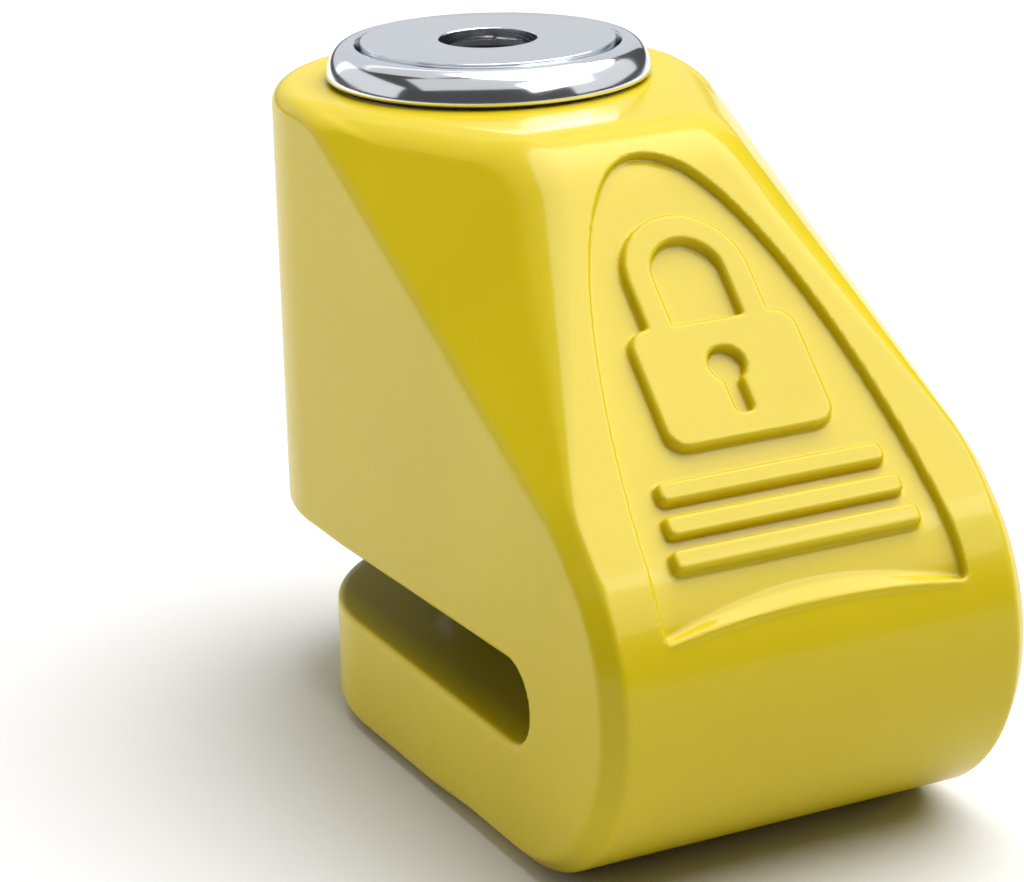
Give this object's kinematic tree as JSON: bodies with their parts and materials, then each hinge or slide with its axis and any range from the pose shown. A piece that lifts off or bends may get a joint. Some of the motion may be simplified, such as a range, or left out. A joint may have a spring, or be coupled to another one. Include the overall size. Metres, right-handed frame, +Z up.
{
  "type": "disc brake lock",
  "caption": "Push-down disc brake lock: a painted wedge body with a slot for a brake disc, a round key cylinder under a chrome cap, and a hardened pin that crosses the slot.",
  "frame": {"origin": "the lock cylinder's axis at the flat underside", "axes": "+X from the slot's mouth to the rounded nose, +Z up along the lock cylinder"},
  "size_m": [0.0823, 0.0416, 0.063],
  "materials": {
    "painted_body": "gloss paint",
    "chrome": "polished chrome plate",
    "plated_steel": "turned, zinc plated",
    "hardened_steel": "ground, hardened",
    "brass": "stamped",
    "spring_steel": "drawn wire",
    "seal_rubber": "matt black"
  },
  "bodies": {
    "body": {"housing": "painted_body", "bezel_ring": "chrome", "wiper_seal": "seal_rubber", "guide_bush": "hardened_steel", "receiver_bush": "hardened_steel", "stop_pin": "hardened_steel", "stop_pin_plug": "plated_steel", "return_spring": "spring_steel"},
    "lock_cylinder": {"barrel": "plated_steel", "cylinder_cap": "chrome", "locking_pin": "hardened_steel", "pin_cross_pin": "hardened_steel", "circlip": "spring_steel", "latch_spring": "spring_steel"},
    "key_plug": {"plug": "brass", "drive_cam": "plated_steel", "drill_guard": "hardened_steel", "sidebar": "brass", "disc_spacer_1": "brass", "disc_spacer_2": "brass", "disc_spacer_3": "brass", "disc_spacer_4": "brass", "disc_spacer_5": "brass", "disc_spacer_6": "brass"},
    "latch": {"latch_bolt": "hardened_steel"},
    "disc_1": {"detainer_disc_1": "plated_steel"},
    "disc_2": {"detainer_disc_2": "brass"},
    "disc_3": {"detainer_disc_3": "plated_steel"},
    "disc_4": {"detainer_disc_4": "brass"},
    "disc_5": {"detainer_disc_5": "plated_steel"},
    "disc_6": {"detainer_disc_6": "brass"},
    "disc_7": {"detainer_disc_7": "plated_steel"}
  },
  "joints": [
    {"name": "cylinder_pop", "type": "slide", "parent": "body", "child": "lock_cylinder", "axis": [0, 0, 1], "range_m": [0, 0.0124], "deforming": ["return_spring"]},
    {"name": "plug_turn", "type": "hinge", "parent": "lock_cylinder", "child": "key_plug", "pos_m": [0, 0, 0.0425], "axis": [0, 0, -1], "range_deg": [0, 90.1]},
    {"name": "latch_draw", "type": "slide", "parent": "lock_cylinder", "child": "latch", "axis": [-1, 0, 0], "range_m": [0, 0.0027], "deforming": ["latch_spring"]},
    {"name": "disc_1_turn", "type": "hinge", "parent": "key_plug", "child": "disc_1", "pos_m": [0, 0, 0.04365], "axis": [0, 0, -1], "range_deg": [0, 90]},
    {"name": "disc_2_turn", "type": "hinge", "parent": "key_plug", "child": "disc_2", "pos_m": [0, 0, 0.04365], "axis": [0, 0, -1], "range_deg": [0, 75]},
    {"name": "disc_3_turn", "type": "hinge", "parent": "key_plug", "child": "disc_3", "pos_m": [0, 0, 0.04365], "axis": [0, 0, -1], "range_deg": [0, 30]},
    {"name": "disc_4_turn", "type": "hinge", "parent": "key_plug", "child": "disc_4", "pos_m": [0, 0, 0.04365], "axis": [0, 0, -1], "range_deg": [0, 60]},
    {"name": "disc_5_turn", "type": "hinge", "parent": "key_plug", "child": "disc_5", "pos_m": [0, 0, 0.04365], "axis": [0, 0, -1], "range_deg": [0, 15]},
    {"name": "disc_6_turn", "type": "hinge", "parent": "key_plug", "child": "disc_6", "pos_m": [0, 0, 0.04365], "axis": [0, 0, -1], "range_deg": [0, 45]},
    {"name": "disc_7_turn", "type": "hinge", "parent": "key_plug", "child": "disc_7", "pos_m": [0, 0, 0.04365], "axis": [0, 0, -1], "range_deg": [0, 80]}
  ],
  "couplings": [
    {"joint": "plug_turn", "follows": "cylinder_pop", "rad_per_m": 126.68},
    {"joint": "latch_draw", "follows": "cylinder_pop", "ratio": 0.21774}
  ]
}
